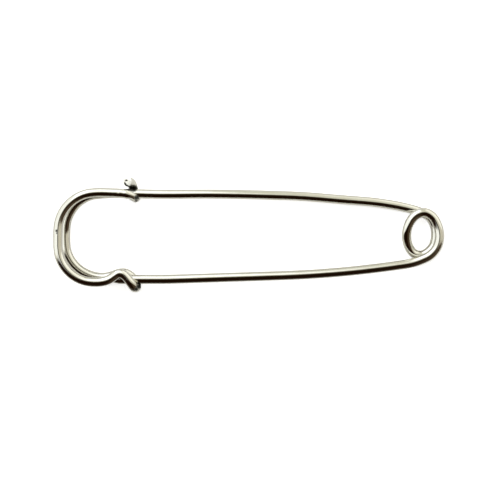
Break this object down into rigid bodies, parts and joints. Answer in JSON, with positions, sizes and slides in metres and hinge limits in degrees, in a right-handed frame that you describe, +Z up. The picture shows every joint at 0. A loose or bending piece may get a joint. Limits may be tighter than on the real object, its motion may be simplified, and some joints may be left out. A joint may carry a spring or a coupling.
{
  "type": "bent wire pin finding",
  "caption": "Long bent wire brooch pin with a spring coil at one end, a double wire bow with a hook for the point, and a plain top bar that charms hang from.",
  "frame": {"origin": "on the surface it lies on, under the middle of its outline", "axes": "+X along its length from the bow to the coil, +Y from the pin to the top arm, +Z up from the surface"},
  "size_m": [0.075, 0.022, 0.0056],
  "materials": {
    "plated_wire": "bright nickel-coloured plating with fine drawing lines and tool marks at the wrap and hook",
    "plated_pin": "bright nickel-coloured plating, polished towards the point"
  },
  "bodies": {
    "frame": {"frame_wire": "plated_wire"},
    "pin": {"pin_stem": "plated_pin"}
  },
  "joints": [
    {"name": "pin_swing", "type": "hinge", "parent": "frame", "child": "pin", "pos_m": [0.03342, -0.00018, 0.0028], "axis": [0, 0, -1], "range_deg": [0, 10], "stiffness_Nm_per_rad": 0.5, "springref_deg": -14.9}
  ]
}
